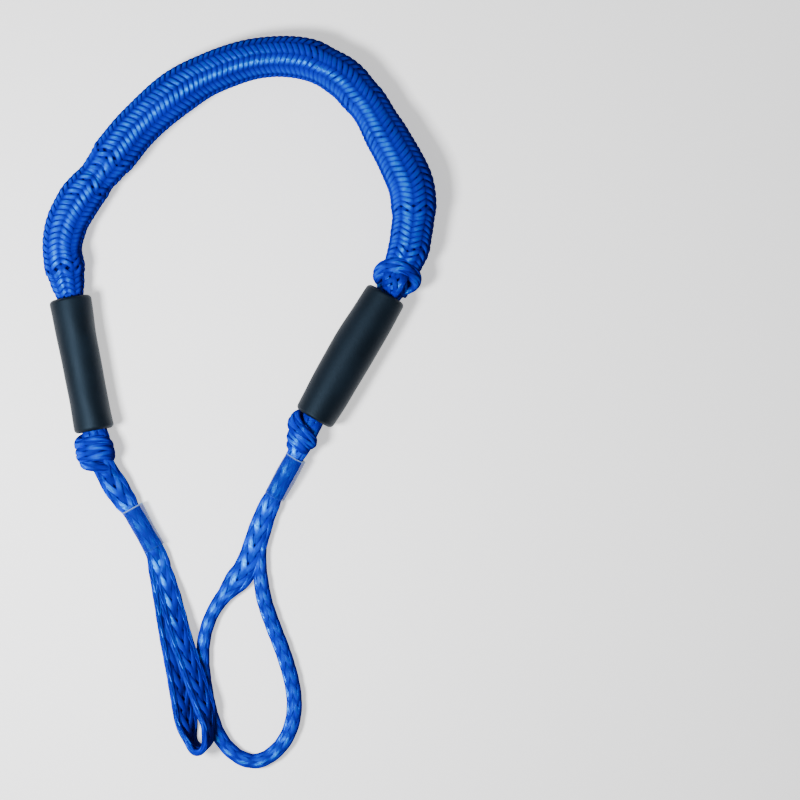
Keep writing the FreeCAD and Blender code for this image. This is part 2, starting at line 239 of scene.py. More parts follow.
def braid_filament():
    """Glossy blue polypropylene: fine filaments run along each strand.

    Light and shade are painted in: the crown of a strand, where it passes over its neighbours, is painted
    brighter and glossier than the parts that dip under them, and more so on the side that faces LIT_SIDE;
    strands of one way get less of this painted highlight.
    """
    shader = Shader("blue_braid")
    across = shader.attribute("across")
    along = shader.attribute("along")
    strand = shader.attribute("strand")
    over = shader.attribute("over")
    sheen = shader.attribute("sheen")
    wander = shader.noise(90.0, 2.0)
    fibres = (across * 46.0 + wander * 5.0 + strand * 17.0).sin()
    fine = (across * 103.0 + along * 900.0 + strand * 7.0).sin()
    height = fibres * 0.5 + fine * 0.22
    crown = over.clamped()
    # painted shade: the colour and the gloss are lit on the side that faces LIT_SIDE, the way the key light
    # falls, and shaded on the side away from it
    facing = shader.node("ShaderNodeVectorMath", {"operation": "DOT_PRODUCT"}, output="Value",
                         inputs=(shader.normal(), LIT_SIDE))
    lit = (facing + 0.02).clamped()
    patch = shader.noise(28.0, 2.0)
    # painted shade and painted highlight: darker where a strand dips under its neighbours, brighter on its
    # crown and most on strands of the lit way, over random patches and fibre streaks
    bright = crown * (sheen * 0.40 + 0.20) + patch * 0.45 + 0.04 + fibres * 0.06
    colour = shader.mix((bright * lit).clamped(), DEEP_BLUE, BRIGHT_BLUE)
    relief = shader.bump(height, 0.00022, 0.6)
    shader.set(Base_Color=colour, Roughness=0.6, Specular_IOR_Level=0.0, Normal=relief)
    gloss = shader.node("ShaderNodeBsdfPrincipled", Base_Color=GLOSS_BLUE, Metallic=1.0,
                        Roughness=(0.34 + fibres * 0.05), Specular_Tint=GLOSS_TINT,
                        Normal=relief)
    # painted highlight: the gloss layer shows only near the middle of crowns that face LIT_SIDE, and less on
    # strands of the dimmed way
    ridge = (1.0 - across.absolute() * 1.6).clamped()
    highlight_spot = crown.power(2.2) * ridge * sheen + 0.08
    shader.cover(gloss, ((lit * 1.2 - 0.35).clamped() * highlight_spot).clamped())
    return shader.material


def braid_shadow():
    """A dark tube inside the braid: painted shade, seen through the gaps between strands."""
    shader = Shader("braid_painted_shade")
    return shader.set(Base_Color=(0.0, 0.001, 0.06, 1), Roughness=0.9, Specular_IOR_Level=0.0)


def float_foam():
    """Matt black closed-cell foam, with fine pores and a few soft scuffs."""
    shader = Shader("float_foam")
    pores = shader.noise(1500.0, 3.0)
    cells = shader.noise(420.0, 2.0)
    scuff = shader.noise(38.0, 4.0)
    share = (scuff * 1.5 - 0.4 + cells * 0.2).clamped()
    colour = shader.mix(share, (0.0012, 0.0022, 0.0038, 1), (0.003, 0.006, 0.0105, 1))
    height = pores * 0.6 + cells * 0.5
    return shader.set(
        Base_Color=colour,
        Roughness=(0.50 + scuff * 0.16),
        Specular_IOR_Level=0.22,
        Specular_Tint=(0.45, 0.7, 1.0, 1),
        Normal=shader.bump(height, 0.0003, 0.6),
    )


def clear_vinyl():
    """A thin clear sleeve: hazy, paler at its cut end, with a painted reflection that makes its steep sides
    paler and less clear, and faint creases.
    """
    shader = Shader("clear_vinyl")
    creases = shader.noise(60.0, 3.0)
    rim = shader.attribute("rim")
    # painted reflection: where the surface faces sideways, taken from the upward part of its normal, the
    # sleeve is paler and less clear
    upward = shader.node("ShaderNodeSeparateXYZ", output="Z", Vector=shader.normal())
    side = (1.0 - upward.absolute()).clamped().power(2.5)
    colour = shader.mix((rim + side * 0.8).clamped(), (0.0, 0.012, 0.30, 1),
                        (0.24, 0.42, 0.68, 1))
    return shader.set(
        Base_Color=colour,
        Roughness=(0.30 + creases * 0.12),
        Alpha=(0.24 + rim * 0.36 + side * 0.20 + creases * 0.06).clamped(),
        Specular_IOR_Level=0.06,
        Specular_Tint=(0.1, 0.4, 1.0, 1),
        Normal=shader.bump(creases, 0.0006, 0.5),
    )


def bungee_rubber():
    """Natural rubber, tan and dull."""
    shader = Shader("bungee_rubber")
    grain = shader.noise(700.0, 3.0)
    colour = shader.mix(grain, (0.30, 0.26, 0.20, 1), (0.46, 0.41, 0.33, 1))
    return shader.set(Base_Color=colour, Roughness=0.75, Normal=shader.bump(grain, 0.0002, 0.5))


def whipping_twine():
    """Undyed twine."""
    shader = Shader("whipping_twine")
    lay = shader.noise(1800.0, 2.0)
    colour = shader.mix(lay, (0.55, 0.54, 0.50, 1), (0.78, 0.77, 0.73, 1))
    return shader.set(Base_Color=colour, Roughness=0.7, Normal=shader.bump(lay, 0.0002, 0.6))


# ---------------------------------------------------------------------------------------------
# Routes: the rope's centreline, as smooth curves. Millimetres.
# ---------------------------------------------------------------------------------------------

LEVEL = 17.5     # height of the middle of the floats and of the rope inside them

SHEATH_ROUTE = [
    (-141.6, 88.0), (-146.2, 112.8), (-148.6, 140.8), (-138.2, 168.6), (-119.5, 189.8),
    (-102.5, 208.6), (-82.0, 232.3), (-56.0, 255.8), (-25.5, 275.3), (7.0, 286.8),
    (39.5, 290.3), (67.5, 285.3), (92.5, 269.3), (112.0, 246.3), (127.5, 219.8),
    (142.0, 192.3), (148.5, 165.8), (146.0, 139.8), (139.6, 120.3), (133.7, 104.8),
]

LEFT_LINE_ROUTE = [
    (-122.4, -17.0, 17.5), (-120.0, -30.0, 17.5), (-118.0, -43.0, 16.8),
    (-113.4, -56.0, 13.6), (-101.5, -76.5, 9.8), (-90.2, -93.0, 8.4), (-69.0, -131.2, 6.4),
    (-67.2, -145.5, 7.6), (-63.0, -170.7, 8.4), (-58.6, -200.1, 8.6),
    (-52.4, -229.5, 9.4), (-47.6, -254.7, 10.0), (-43.6, -276.2, 10.5), (-41.0, -287.2, 11.5),
    (-34.6, -293.2, 14.0), (-27.4, -290.2, 17.5), (-24.2, -280.2, 20.0), (-26.0, -262.2, 20.5),
    (-33.0, -242.1, 20.5), (-42.0, -216.9, 20.5), (-49.4, -195.9, 19.5), (-56.4, -170.7, 13.0),
    (-63.4, -148.0, 8.0), (-67.8, -128.5, 7.0), (-73.5, -117.0, 6.8),
]

RIGHT_LINE_ROUTE = [
    (65.6, -8.6, 17.5), (58.8, -20.0, 17.5), (54.2, -31.0, 16.8),
    (50.0, -40.5, 14.5), (25.0, -85.2, 8.0), (15.9, -109.9, 6.6), (7.6, -139.2, 6.4),
    (-8.2, -157.0, 6.3), (-22.6, -175.4, 6.3), (-30.2, -196.2, 6.3),
    (-32.0, -217.2, 6.3), (-29.5, -240.2, 6.3), (-25.5, -262.2, 6.3), (-17.5, -284.4, 6.3),
    (-3.4, -299.8, 6.3), (13.4, -305.4, 6.3), (30.0, -296.7, 6.3), (41.5, -281.2, 6.3),
    (46.5, -261.7, 6.3), (45.0, -239.7, 6.3), (37.4, -213.2, 6.3), (27.4, -188.2, 6.3),
    (19.4, -165.2, 6.3), (17.0, -143.0, 6.0), (17.0, -128.0, 6.2), (18.4, -112.0, 6.4),
]


def smooth_line(name, points):
    """The smooth NURBS line with these control points, read back as a fine polyline, in metres."""
    curve = bpy.data.curves.new(name, "CURVE")
    curve.dimensions = "3D"
    curve.resolution_u = 24
    spline = curve.splines.new("NURBS")
    spline.points.add(len(points) - 1)
    for point, place in zip(spline.points, points):
        point.co = (*(value * MM for value in place), 1.0)
    spline.order_u = 3
    spline.use_endpoint_u = True
    holder = bpy.data.objects.new(name, curve)
    bpy.context.collection.objects.link(holder)
    bpy.context.view_layer.update()
    mesh = bpy.data.meshes.new_from_object(holder)
    line = np.array([vertex.co[:] for vertex in mesh.vertices])
    bpy.data.objects.remove(holder)
    bpy.data.curves.remove(curve)
    bpy.data.meshes.remove(mesh)
    return line


def arc_lengths(line):
    steps = np.linalg.norm(np.diff(line, axis=0), axis=1)
    return np.concatenate([[0.0], np.cumsum(steps)])


def evened(line, spacing):
    """The line with its points at an even spacing, and the distance of each along it."""
    along = arc_lengths(line)
    count = max(3, int(round(along[-1] / spacing)) + 1)
    at = np.linspace(0, along[-1], count)
    return np.stack([np.interp(at, along, line[:, axis]) for axis in range(3)], axis=1), at


def unit_rows(rows):
    return rows / np.maximum(np.linalg.norm(rows, axis=1), 1e-12)[:, None]


def level_sides(line):
    """The level left side and the upward side at each point of a line."""
    ahead = unit_rows(np.gradient(line, axis=0))
    left = unit_rows(np.cross(np.array([0.0, 0.0, 1.0]), ahead))
    return left, np.cross(ahead, left)


def profile(at, stops):
    """Values between given stops [(distance mm, value)], eased smoothly."""
    places = np.array([stop[0] for stop in stops], float) * MM
    values = np.array([stop[1] for stop in stops], float)
    index = np.clip(np.searchsorted(places, at) - 1, 0, len(places) - 2)
    span = places[index + 1] - places[index]
    share = np.clip((at - places[index]) / span, 0, 1)
    share = share * share * (3 - 2 * share)
    return values[index] * (1 - share) + values[index + 1] * share


# ---------------------------------------------------------------------------------------------
# Braid: strands that pass over two and under two, made by one geometry-nodes tree
# ---------------------------------------------------------------------------------------------

WAYS = 10        # strands that run each way round the rope
LENS_SIDES = 8   # points round a strand's own section


class Nodes:
    """Short ways to add geometry nodes and to write sums on their sockets."""

    def __init__(self, name):
        self.tree = bpy.data.node_groups.new(name, "GeometryNodeTree")
        self.tree.is_modifier = True
        face = self.tree.interface
        face.new_socket("Geometry", in_out="INPUT", socket_type="NodeSocketGeometry")
        face.new_socket("Geometry", in_out="OUTPUT", socket_type="NodeSocketGeometry")
        self.enter = self.tree.nodes.new("NodeGroupInput")
        self.leave = self.tree.nodes.new("NodeGroupOutput")

    def ask(self, name, kind, value=None):
        socket = self.tree.interface.new_socket(name, in_out="INPUT", socket_type=kind)
        if value is not None:
            socket.default_value = value
        return self.enter.outputs[name]

    def add(self, kind, settings=None, output=0, **values):
        node = self.tree.nodes.new(kind)
        for key, value in (settings or {}).items():
            setattr(node, key, value)
        for key, value in values.items():
            self.put(node, key.replace("_", " "), value)
        return node.outputs[output]

    def put(self, node, key, value):
        sockets = [s for s in node.inputs if s.name == key and s.enabled]
        if isinstance(value, (list, tuple)) and isinstance(value[0], bpy.types.NodeSocket):
            for socket, item in zip(sockets, value):
                self.tree.links.new(item, socket)
        elif isinstance(value, bpy.types.NodeSocket):
            self.tree.links.new(value, sockets[0])
        else:
            sockets[0].default_value = value

    def sum(self, operation, *values):
        node = self.tree.nodes.new("ShaderNodeMath")
        node.operation = operation
        return self._fill(node, values)

    def vector(self, operation, *values):
        node = self.tree.nodes.new("ShaderNodeVectorMath")
        node.operation = operation
        return self._fill(node, values)

    def scaled(self, vector, factor):
        node = self.tree.nodes.new("ShaderNodeVectorMath")
        node.operation = "SCALE"
        self._link(node.inputs[0], vector)
        self._link(node.inputs["Scale"], factor)
        return node.outputs[0]

    def _fill(self, node, values):
        for socket, value in zip(node.inputs, values):
            self._link(socket, value)
        return node.outputs[0]

    def _link(self, socket, value):
        if isinstance(value, bpy.types.NodeSocket):
            self.tree.links.new(value, socket)
        else:
            socket.default_value = value

    def read(self, name, kind="FLOAT"):
        return self.add("GeometryNodeInputNamedAttribute", {"data_type": kind}, Name=name)

    def store(self, geometry, name, value, kind="FLOAT"):
        return self.add("GeometryNodeStoreNamedAttribute", {"data_type": kind, "domain": "POINT"},
                        Geometry=geometry, Name=name, Value=value)


def braid_tree():
    """Strands in two directions round a guide line whose points carry the rope's section."""
    g = Nodes("braid")
    width = g.ask("Strand width", "NodeSocketFloat", 0.0042)
    thick = g.ask("Strand thickness", "NodeSocketFloat", 0.0014)
    wave = g.ask("Over and under", "NodeSocketFloat", 0.0005)
    inset = g.ask("Inside inset", "NodeSocketFloat", 0.0009)
    lens = g.ask("Strand section", "NodeSocketObject")
    ring = g.ask("Inside section", "NodeSocketObject")
    strand_material = g.ask("Strand material", "NodeSocketMaterial")
    inside_material = g.ask("Inside material", "NodeSocketMaterial")

    guide = g.add("GeometryNodeMeshToCurve", Mesh=g.enter.outputs["Geometry"])

    # one copy of the guide for each strand; odd copies turn the other way
    copies = g.tree.nodes.new("GeometryNodeDuplicateElements")
    copies.domain = "SPLINE"
    g.put(copies, "Geometry", guide)
    g.put(copies, "Amount", 2 * WAYS)
    number = copies.outputs["Duplicate Index"]
    strands = copies.outputs["Geometry"]
    pair = g.sum("FLOOR", g.sum("DIVIDE", number, 2.0))
    odd = g.sum("SUBTRACT", number, g.sum("MULTIPLY", pair, 2.0))
    way = g.sum("SUBTRACT", 1.0, g.sum("MULTIPLY", odd, 2.0))
    strands = g.store(strands, "way", way)
    strands = g.store(strands, "strand", number)
    # painted highlight: strands of one way, chosen by the sign of the guide's dimming field, get less
    # painted highlight and darker crowns, as if their filaments faced away from the key light
    dimmed = g.sum("MAXIMUM", g.sum("MULTIPLY", g.read("dull"), way), 0.0)
    strands = g.store(strands, "sheen", g.sum("SUBTRACT", 1.0, dimmed))
    start = g.sum("MULTIPLY", pair, 2 * math.pi / WAYS)
    spin = g.sum("MULTIPLY", g.read("turns"), g.sum("MULTIPLY", way, 2 * math.pi))
    strands = g.store(strands, "angle", g.sum("ADD", start, spin))

    def around(angle, grow):
        """The place on the rope's oval section at an angle, and the way out of it there."""
        half_width, half_height = g.read("half_width"), g.read("half_height")
        left, up = g.read("left", "FLOAT_VECTOR"), g.read("up", "FLOAT_VECTOR")
        # an even spacing on a flat oval needs the angle eased towards its flat faces
        ease = g.sum("MULTIPLY", g.read("flat"), g.sum("SINE", g.sum("MULTIPLY", angle, 2.0)))
        turned = g.sum("ADD", angle, ease)
        cosine, sine = g.sum("COSINE", turned), g.sum("SINE", turned)
        out = g.vector("NORMALIZE", g.vector(
            "ADD", g.scaled(left, g.sum("DIVIDE", cosine, half_width)),
            g.scaled(up, g.sum("DIVIDE", sine, half_height))))
        place = g.vector("ADD", g.scaled(left, g.sum("MULTIPLY", cosine, half_width)),
                         g.scaled(up, g.sum("MULTIPLY", sine, half_height)))
        place = g.vector("ADD", place, g.scaled(out, grow))
        return g.vector("ADD", g.read("centre", "FLOAT_VECTOR"), place), out

    weave = g.sum("COSINE", g.sum("MULTIPLY", g.read("angle"), WAYS / 2))
    over = g.sum("MULTIPLY", weave, g.read("way"))
    lift = g.sum("SUBTRACT", g.sum("MULTIPLY", over, wave), inset)
    place, out = around(g.read("angle"), lift)
    strands = g.store(strands, "over", over)
    strands = g.store(strands, "out", out, "FLOAT_VECTOR")
    strands = g.add("GeometryNodeSetPosition", Geometry=strands, Position=place)
    strands = g.store(strands, "middle", g.add("GeometryNodeInputPosition"), "FLOAT_VECTOR")
    strands = g.store(strands, "ahead", g.add("GeometryNodeInputTangent"), "FLOAT_VECTOR")
    length = g.add("GeometryNodeSplineParameter", output=1)
    strands = g.store(strands, "along", length)

    # the strand's own section, laid on the rope's surface
    section = g.add("GeometryNodeObjectInfo", output=4, Object=lens)
    section = g.add("GeometryNodeMeshToCurve", Mesh=section)
    cover = g.tree.nodes.new("GeometryNodeCurveToMesh")
    g.put(cover, "Curve", strands)
    g.put(cover, "Profile Curve", section)
    cover.inputs["Fill Caps"].default_value = True
    sideways = g.vector("NORMALIZE", g.vector(
        "CROSS_PRODUCT", g.read("ahead", "FLOAT_VECTOR"), g.read("out", "FLOAT_VECTOR")))
    local_width = g.sum("MULTIPLY", width, g.read("strand_scale"))
    spread = g.scaled(sideways, g.sum("MULTIPLY", g.read("across"), local_width))
    rise = g.scaled(g.read("out", "FLOAT_VECTOR"), g.sum("MULTIPLY", g.read("above"), thick))
    laid = g.vector("ADD", g.read("middle", "FLOAT_VECTOR"), g.vector("ADD", spread, rise))
    cover = g.add("GeometryNodeSetPosition", Geometry=cover.outputs["Mesh"], Position=laid)
    cover = g.add("GeometryNodeSetShadeSmooth", Geometry=cover, Shade_Smooth=True)
    cover = g.add("GeometryNodeSetMaterial", Geometry=cover, Material=strand_material)

    # the dark tube inside: painted shade seen through the gaps between strands
    loop = g.add("GeometryNodeObjectInfo", output=4, Object=ring)
    loop = g.add("GeometryNodeMeshToCurve", Mesh=loop)
    inside = g.tree.nodes.new("GeometryNodeCurveToMesh")
    g.put(inside, "Curve", guide)
    g.put(inside, "Profile Curve", loop)
    inside.inputs["Fill Caps"].default_value = True
    place, _ = around(g.read("turn"), g.sum("MULTIPLY", g.sum("ADD", inset, thick), -1.0))
    inside = g.add("GeometryNodeSetPosition", Geometry=inside.outputs["Mesh"], Position=place)
    inside = g.add("GeometryNodeSetShadeSmooth", Geometry=inside, Shade_Smooth=True)
    inside = g.add("GeometryNodeSetMaterial", Geometry=inside, Material=inside_material)

    joined = g.tree.nodes.new("GeometryNodeJoinGeometry")
    for part in (inside, cover):
        g.tree.links.new(part, joined.inputs[0])
    solid = g.add("GeometryNodeRealizeInstances", Geometry=joined.outputs[0])
    g.tree.links.new(solid, g.leave.inputs[0])
    return g.tree


def closed_section(name, places, attributes):
    """A closed loop of edges, whose points carry the given attributes."""
    mesh = bpy.data.meshes.new(name)
    count = len(places)
    mesh.from_pydata(places, [(i, (i + 1) % count) for i in range(count)], [])
    for key, values in attributes.items():
        mesh.attributes.new(key, "FLOAT", "POINT").data.foreach_set("value", values)
    holder = bpy.data.objects.new(name, mesh)
    bpy.context.collection.objects.link(holder)
    return holder


def lens_section():
    """A strand's puffed, flat-bottomed section: width 1 and thickness 1."""
    turns = [2 * math.pi * i / LENS_SIDES for i in range(LENS_SIDES)]
    across = [0.5 * math.copysign(abs(math.cos(turn)) ** 0.8, math.cos(turn)) for turn in turns]
    above = [0.5 * math.sin(turn) * (1.0 if math.sin(turn) > 0 else 0.55) for turn in turns]
    places = [(x * MM, y * MM, 0) for x, y in zip(across, above)]
    return closed_section("strand_section", places, {"across": across, "above": above})


def ring_section(sides=20):
    turns = [2 * math.pi * i / sides for i in range(sides)]
    places = [(math.cos(turn) * MM, math.sin(turn) * MM, 0) for turn in turns]
    return closed_section("inside_section", places, {"turn": turns})


def guide_mesh(name, line, left, up, fields):
    """The guide's polyline, with the rope's section on its points."""
    mesh = bpy.data.meshes.new(name)
    mesh.from_pydata([tuple(p) for p in line], [(i, i + 1) for i in range(len(line) - 1)], [])
    vectors = {"centre": line, "left": left, "up": up}
    for key, rows in vectors.items():
        attribute = mesh.attributes.new(key, "FLOAT_VECTOR", "POINT")
        attribute.data.foreach_set("vector", np.asarray(rows, np.float32).ravel())
    for key, values in fields.items():
        attribute = mesh.attributes.new(key, "FLOAT", "POINT")
        attribute.data.foreach_set("value", np.asarray(values, np.float32))
    return mesh


def braided(name, line, left, up, half_width, half_height, turns, strand_width, strand_scale=None,
            thickness=1.4, wave=0.5, dull=0.0):
    """A braided rope along a line, as one finished mesh object."""
    share = half_width / np.maximum(half_height, 1e-6)
    flat = np.clip((share - 1) / (share + 1), -0.6, 0.75) * -0.5
    fields = {
        "half_width": half_width, "half_height": half_height, "turns": turns,
        "flat": flat, "dull": np.full(len(line), dull),
        "strand_scale": np.ones(len(line)) if strand_scale is None else strand_scale,
    }
    mesh = guide_mesh(name, line, left, up, fields)
    rope = bpy.data.objects.new(name, mesh)
    bpy.context.collection.objects.link(rope)
    modifier = rope.modifiers.new("braid", "NODES")
    modifier.node_group = BRAID
    values = {
        "Strand width": strand_width * MM, "Strand thickness": thickness * MM,
        "Over and under": wave * MM, "Inside inset": thickness * 0.5 * MM,
        "Strand section": STRAND_SECTION, "Inside section": INSIDE_SECTION,
        "Strand material": BLUE, "Inside material": INSIDE,
    }
    for item in BRAID.interface.items_tree:
        if item.name in values:
            modifier[item.identifier] = values[item.name]
    bpy.context.view_layer.update()
    graph = bpy.context.evaluated_depsgraph_get()
    final = bpy.data.meshes.new_from_object(rope.evaluated_get(graph))
    rope.modifiers.remove(modifier)
    rope.data = final
    bpy.data.meshes.remove(mesh)
    tidy_attributes(final)
    return rope


KEPT_ATTRIBUTES = ("across", "along", "strand", "over", "sheen")


def tidy_attributes(mesh):
    """Keep only the attributes that the materials read."""
    extra = [a.name for a in mesh.attributes
             if not a.is_internal and not a.is_required and a.name not in KEPT_ATTRIBUTES
             and a.domain == "POINT"]
    for name in extra:
        mesh.attributes.remove(mesh.attributes[name])


# ---------------------------------------------------------------------------------------------
# The rope's stretches
# ---------------------------------------------------------------------------------------------

SHEATH_STEP, SHEATH_TURN = 1.0, 47.0     # between points, and for one turn of a strand
SHEATH_PROUD = 0.0009                    # how far its strands stand out of its radius, metres
SHEATH_LEAST_RISE = 0.0165               # lowest height of its middle, metres
CORE_SPAN = slice(39, 520, 4)            # the points of the fat middle that hold rubber
CORE_SPACING, CORE_RADIUS = 5.6, 5.5
CORE_SIDES, CORE_TIP = 20, 0.05
STRETCH_FROM, STRETCH_TO = (-0.095, 0.215, 0.0175), (-0.150, 0.145, 0.0175)


def make_sheath():
    """The fat middle, bunched over the rubber: many low turns, with soft lumps."""
    route = [(x, y, LEVEL) for x, y in SHEATH_ROUTE]
    line, at = evened(smooth_line("fat_middle", route), SHEATH_STEP * MM)
    radius = profile(at, [
        (0, 11.0), (14, 14.1), (26, 16.7), (38, 16.1), (62, 17.2), (86, 17.8), (98, 17.0),
        (110, 15.4), (122, 16.5), (134, 18.4), (170, 18.1), (206, 18.9), (242, 17.3),
        (290, 16.6), (326, 17.3), (340, 16.6), (355, 17.3), (398, 16.5), (422, 18.1),
        (458, 19.2), (482, 18.9), (494, 17.4), (518, 17.1), (532, 15.6), (546, 10.5)]) * MM
    lean = profile(at, [
        (0, 0), (26, 0.4), (38, 1.0), (62, -0.6), (80, -1.9), (98, -1.8), (112, -0.6),
        (134, 0.5), (158, 1.5), (218, 1.2), (254, 0.6), (278, 1.1), (326, 0.7), (340, 0),
        (362, 0.3), (376, -0.8), (386, 0), (412, -1.2), (446, -0.9), (464, 0), (488, -0.8),
        (506, -0.9), (518, 0.3), (546, -0.3)]) * MM
    line = line + level_sides(line)[0] * lean[:, None]
    line[:, 2] = np.maximum(radius + SHEATH_PROUD, SHEATH_LEAST_RISE)
    left, up = level_sides(line)
    turns = np.cumsum(np.gradient(at) / (SHEATH_TURN * MM))
    sheath = braided("fat_middle_braid", line, left, up, radius, radius, turns, 4.35,
                     thickness=1.7, wave=0.62)
    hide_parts("bungee_sheath")
    give_with_stretch(sheath)
    make_cores(line[CORE_SPAN], left[CORE_SPAN], up[CORE_SPAN])


def give_with_stretch(piece):
    """Let a piece of the fat middle lengthen between its bulk and the left arm."""
    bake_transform(piece, "fat_middle", "left_arm", start=STRETCH_FROM, end=STRETCH_TO)


def make_cores(line, left, up):
    """The rubber cords in the fat middle, and the twine round their left ends."""
    last = len(line) - 1
    places = [(0, CORE_TIP), *[(i, 1.0) for i in range(len(line))], (last, CORE_TIP)]
    turns = np.linspace(0, 2 * math.pi, CORE_SIDES, endpoint=False)
    for number, (side, rise) in enumerate([(1, -1), (1, 1), (-1, 1), (-1, -1)], start=1):
        centres = line + (left * side + up * rise) * CORE_SPACING * MM
        rings = []
        for i, size in places:
            reach = CORE_RADIUS * MM * size
            rings.append([centres[i] + (left[i] * math.cos(turn) + up[i] * math.sin(turn)) * reach
                          for turn in turns])
        core = skin(f"rubber_cord_{number}", rings)
        core.data.materials.append(RUBBER)
        give_with_stretch(core)
        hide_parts(f"bungee_core_{number}")
    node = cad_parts["left_core_whipping"]
    mesh = node.data.copy()
    mesh.transform(node.matrix_world)
    mesh.materials.clear()
    mesh.materials.append(TWINE)
    twine = bpy.data.objects.new("left_end_twine", mesh)
    bpy.context.collection.objects.link(twine)
    give_with_stretch(twine)
    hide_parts("left_core_whipping")


def make_line(side, route, knot_place, past_knot, stops, strand_width):
    """The rope from the float's foot through the knot, and round its eye, as one flat braid.

    stops holds (distance, value) pairs: the rope's half width and half height, the roll of its
    flat side in degrees, the length of one turn of a strand and the scale of a strand's width.
    """
    line, at = evened(smooth_line(f"{side}_line", route), 1.2 * MM)
    half_width = profile(at, stops["half_width"]) * MM
    half_height = profile(at, stops["half_height"]) * MM
    roll = np.radians(profile(at, stops["roll"]))
    level, up = level_sides(line)
    cosine, sine = np.cos(roll)[:, None], np.sin(roll)[:, None]
    left, top = level * cosine + up * sine, up * cosine - level * sine
    turns = np.cumsum(np.gradient(at) / (profile(at, stops["pitch"]) * MM))
    # strands of one way get less painted highlight and darker crowns
    rope = braided(f"{side}_tail_and_eye", line, left, top, half_width, half_height, turns,
                   strand_width, profile(at, stops["strand"]), wave=0.32, dull=0.8)
    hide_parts(f"{side}_tail", f"{side}_eye", f"{side}_buried_end")
    start, end = ((x * MM, y * MM, LEVEL * MM) for x, y in (knot_place, past_knot))
    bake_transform(rope, f"{side}_arm", f"{side}_tail", start=start, end=end)


def make_lines():
    make_line("left", LEFT_LINE_ROUTE, (-119.4, -40.2), (-109.8, -60.5), {
        "diameter": 20.0,
        "half_width": [(0, 7.4), (7, 10.4), (14, 11.2), (26, 10.0), (40, 9.2), (58, 10.2),
                       (72, 9.2), (82, 7.4), (120, 7.4), (136, 8.8), (156, 8.6), (204, 8.8),
                       (264, 10.0), (300, 9.8), (344, 9.6), (404, 8.8), (440, 8.0), (470, 6.0),
                       (500, 3.6)],
        "half_height": [(0, 7.2), (8, 8.0), (24, 7.0), (44, 5.8), (104, 5.0), (136, 4.0),
                        (156, 3.0), (204, 2.7), (424, 2.7), (456, 3.0), (500, 2.0)],
        "roll": [(0, 0), (128, -8), (156, -34), (204, -42), (264, -44), (289, -82),
                 (319, -108), (344, -134), (404, -146), (440, -160), (484, -178), (500, -180)],
        "pitch": [(0, 195), (500, 180)],
        "strand": [(0, 1), (440, 1), (500, 0.6)],
    }, 5.6)
    make_line("right", RIGHT_LINE_ROUTE, (56.2, -24.0), (45.8, -44.0), {
        "diameter": 16.0,
        "half_width": [(0, 7.4), (8, 9.6), (22, 9.4), (34, 8.4), (42, 7.4), (80, 7.4),
                       (90, 8.4), (116, 9.4), (140, 10.0), (157, 9.9), (178, 6.2), (192, 5.5),
                       (211, 5.4), (300, 5.9), (420, 6.3), (500, 6.3), (530, 5.2), (560, 3.4)],
        "half_height": [(0, 7.2), (8, 8.0), (22, 7.0), (36, 5.9), (86, 5.6), (140, 5.2),
                        (186, 5.4), (211, 5.4), (500, 5.4), (530, 4.8), (560, 3.2)],
        "roll": [(0, 0), (560, 0)],
        "pitch": [(0, 190), (156, 165), (206, 140), (560, 140)],
        "strand": [(0, 1), (100, 1), (156, 1.12), (196, 0.84), (500, 0.84), (560, 0.55)],
    }, 5.4)


# ---------------------------------------------------------------------------------------------
# Knots: the rope's own wraps, in each knot's frame (across, ahead, height)
# ---------------------------------------------------------------------------------------------

KNOTS = {
    "right_upper": ((133.7, 104.8), (0.0, -1.0), "fat_middle"),
    "left_lower": ((-119.4, -40.2), (0.18, -0.984), "left_arm"),
    "right_lower": ((56.2, -24.0), (-0.509, -0.861), "right_arm"),
}

UPPER_FRONT = [
    (0.5, -5.0, 25.0), (-1.2, -2.0, 30.0), (-2.6, 2.0, 32.4), (-4.4, 6.5, 31.0),
    (-6.6, 11.0, 26.0), (-9.0, 15.5, 19.0),
]
UPPER_WRAP = [
    (6.0, 4.0, 8.0), (-4.0, 3.0, 6.8), (-13.0, 1.5, 8.6), (-17.6, -0.5, 14.5),
    (-16.2, -4.2, 22.0), (-11.0, -7.4, 28.0), (-3.5, -8.8, 31.4), (4.5, -7.8, 31.4),
    (11.5, -3.6, 27.6), (16.0, 2.0, 21.0), (13.4, 7.4, 16.5), (6.2, 10.0, 16.0),
    (-1.0, 11.2, 14.5),
]
UPPER_RIM = [
    (-17.5, -5.0, 15.0), (-13.4, -11.4, 23.5), (-8.0, -13.2, 29.4), (-1.0, -14.0, 32.2),
    (6.5, -13.2, 31.2), (12.6, -9.0, 27.0), (17.0, -3.0, 18.0),
]
UPPER_FILL = [
    (-14.5, -1.0, 10.0), (-13.6, 5.0, 11.0), (-12.6, 11.0, 12.5), (-10.6, 17.0, 14.5),
]
UPPER_BODY = [
    (1.0, -8.0, 19.0), (1.5, -1.0, 19.0), (2.0, 5.0, 18.0), (-1.5, 11.0, 17.0), (-7.0, 17.0, 16.5),
]
LEFT_LOWER_WRAP = [
    (4.0, -13.0, 12.0), (-6.0, -12.0, 9.0), (-13.2, -8.4, 14.0), (-12.8, -5.6, 22.0),
    (-4.0, -6.6, 25.6), (6.0, -6.2, 24.6), (11.0, -3.0, 18.0), (8.0, 1.0, 8.6),
    (-3.0, 3.0, 6.6), (-12.6, 2.5, 12.0), (-14.0, 1.0, 21.0), (-6.0, 1.5, 28.0),
    (4.0, 1.2, 28.6), (11.4, 2.6, 21.6), (9.6, 6.0, 10.6), (0.0, 8.0, 6.8),
    (-10.0, 8.2, 10.0), (-12.8, 8.6, 18.0), (-7.6, 11.6, 22.6), (0.6, 14.6, 21.0),
    (5.4, 17.6, 15.0),
]
